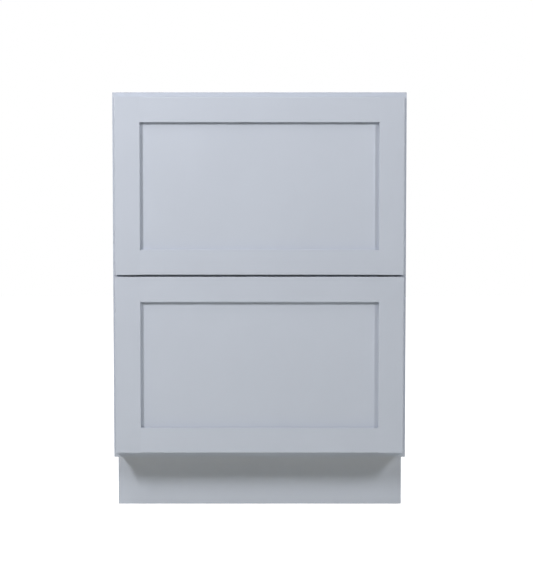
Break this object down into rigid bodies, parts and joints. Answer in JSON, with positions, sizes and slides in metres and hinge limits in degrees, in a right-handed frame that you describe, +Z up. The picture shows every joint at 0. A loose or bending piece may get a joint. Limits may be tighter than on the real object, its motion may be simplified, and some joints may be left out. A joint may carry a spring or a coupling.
{
  "type": "base cabinet with drawers",
  "caption": "Face-frame kitchen base cabinet with full-overlay recessed-panel drawers on undermount runners above a recessed toe kick, without handles or worktop.",
  "frame": {"origin": "on the floor, at the middle of the width and of the whole depth with the drawer fronts", "axes": "+Z up; -Y out of the drawer fronts, so the drawers open along -Y; +X to the right as seen from behind the viewer who faces the fronts"},
  "size_m": [0.6096, 0.6302, 0.8763],
  "materials": {
    "painted_wood": "satin light grey paint",
    "plywood": "clear-coated birch plywood",
    "maple": "clear-coated solid maple",
    "zinc_steel": "zinc plated",
    "bracket_plastic": "moulded",
    "lock_plastic": "moulded",
    "lever_plastic": "moulded"
  },
  "bodies": {
    "cabinet": {"side_panel_left": "plywood", "side_panel_right": "plywood", "bottom_panel": "plywood", "back_panel": "plywood", "hanging_rail": "plywood", "corner_block_front_left": "plywood", "corner_block_front_right": "plywood", "corner_block_rear_right": "plywood", "corner_block_rear_left": "plywood", "toe_kick_support": "plywood", "toe_kick_board": "painted_wood", "face_stile_left": "painted_wood", "face_stile_right": "painted_wood", "face_rail_bottom": "painted_wood", "face_rail_middle": "painted_wood", "face_rail_top": "painted_wood", "lower_runner_rail_left": "zinc_steel", "lower_runner_bracket_left": "bracket_plastic", "lower_runner_rail_right": "zinc_steel", "lower_runner_bracket_right": "bracket_plastic", "upper_runner_rail_left": "zinc_steel", "upper_runner_bracket_left": "bracket_plastic", "upper_runner_rail_right": "zinc_steel", "upper_runner_bracket_right": "bracket_plastic"},
    "lower_middle_left": {"lower_runner_middle_left": "zinc_steel"},
    "lower_lever_left": {"lower_release_lever_left": "lever_plastic"},
    "lower_middle_right": {"lower_runner_middle_right": "zinc_steel"},
    "lower_lever_right": {"lower_release_lever_right": "lever_plastic"},
    "lower_drawer": {"lower_front_stile_left": "painted_wood", "lower_front_stile_right": "painted_wood", "lower_front_rail_bottom": "painted_wood", "lower_front_rail_top": "painted_wood", "lower_front_panel": "painted_wood", "lower_box_side_left": "maple", "lower_box_side_right": "maple", "lower_box_front": "maple", "lower_box_back": "maple", "lower_box_bottom": "plywood", "lower_runner_drawer_member_left": "zinc_steel", "lower_locking_device_left": "lock_plastic", "lower_runner_drawer_member_right": "zinc_steel", "lower_locking_device_right": "lock_plastic"},
    "upper_middle_left": {"upper_runner_middle_left": "zinc_steel"},
    "upper_lever_left": {"upper_release_lever_left": "lever_plastic"},
    "upper_middle_right": {"upper_runner_middle_right": "zinc_steel"},
    "upper_lever_right": {"upper_release_lever_right": "lever_plastic"},
    "upper_drawer": {"upper_front_stile_left": "painted_wood", "upper_front_stile_right": "painted_wood", "upper_front_rail_bottom": "painted_wood", "upper_front_rail_top": "painted_wood", "upper_front_panel": "painted_wood", "upper_box_side_left": "maple", "upper_box_side_right": "maple", "upper_box_front": "maple", "upper_box_back": "maple", "upper_box_bottom": "plywood", "upper_runner_drawer_member_left": "zinc_steel", "upper_locking_device_left": "lock_plastic", "upper_runner_drawer_member_right": "zinc_steel", "upper_locking_device_right": "lock_plastic"}
  },
  "joints": [
    {"name": "lower_drawer_slide", "type": "slide", "parent": "cabinet", "child": "lower_drawer", "axis": [0, -1, 0], "range_m": [0, 0.52]},
    {"name": "lower_middle_left_slide", "type": "slide", "parent": "cabinet", "child": "lower_middle_left", "axis": [0, -1, 0], "range_m": [0, 0.26]},
    {"name": "lower_lever_left_pivot", "type": "hinge", "parent": "lower_drawer", "child": "lower_lever_left", "pos_m": [-0.2094, -0.2378, 0.1674], "axis": [0, 0, -1], "range_deg": [0, 12], "stiffness_Nm_per_rad": 0.3},
    {"name": "lower_middle_right_slide", "type": "slide", "parent": "cabinet", "child": "lower_middle_right", "axis": [0, -1, 0], "range_m": [0, 0.26]},
    {"name": "lower_lever_right_pivot", "type": "hinge", "parent": "lower_drawer", "child": "lower_lever_right", "pos_m": [0.2094, -0.2378, 0.1674], "axis": [0, 0, 1], "range_deg": [0, 12], "stiffness_Nm_per_rad": 0.3},
    {"name": "upper_drawer_slide", "type": "slide", "parent": "cabinet", "child": "upper_drawer", "axis": [0, -1, 0], "range_m": [0, 0.52]},
    {"name": "upper_middle_left_slide", "type": "slide", "parent": "cabinet", "child": "upper_middle_left", "axis": [0, -1, 0], "range_m": [0, 0.26]},
    {"name": "upper_lever_left_pivot", "type": "hinge", "parent": "upper_drawer", "child": "upper_lever_left", "pos_m": [-0.2094, -0.2378, 0.52935], "axis": [0, 0, -1], "range_deg": [0, 12], "stiffness_Nm_per_rad": 0.3},
    {"name": "upper_middle_right_slide", "type": "slide", "parent": "cabinet", "child": "upper_middle_right", "axis": [0, -1, 0], "range_m": [0, 0.26]},
    {"name": "upper_lever_right_pivot", "type": "hinge", "parent": "upper_drawer", "child": "upper_lever_right", "pos_m": [0.2094, -0.2378, 0.52935], "axis": [0, 0, 1], "range_deg": [0, 12], "stiffness_Nm_per_rad": 0.3}
  ],
  "couplings": [
    {"joint": "lower_middle_left_slide", "follows": "lower_drawer_slide", "ratio": 0.5},
    {"joint": "lower_middle_right_slide", "follows": "lower_drawer_slide", "ratio": 0.5},
    {"joint": "upper_middle_left_slide", "follows": "upper_drawer_slide", "ratio": 0.5},
    {"joint": "upper_middle_right_slide", "follows": "upper_drawer_slide", "ratio": 0.5}
  ]
}
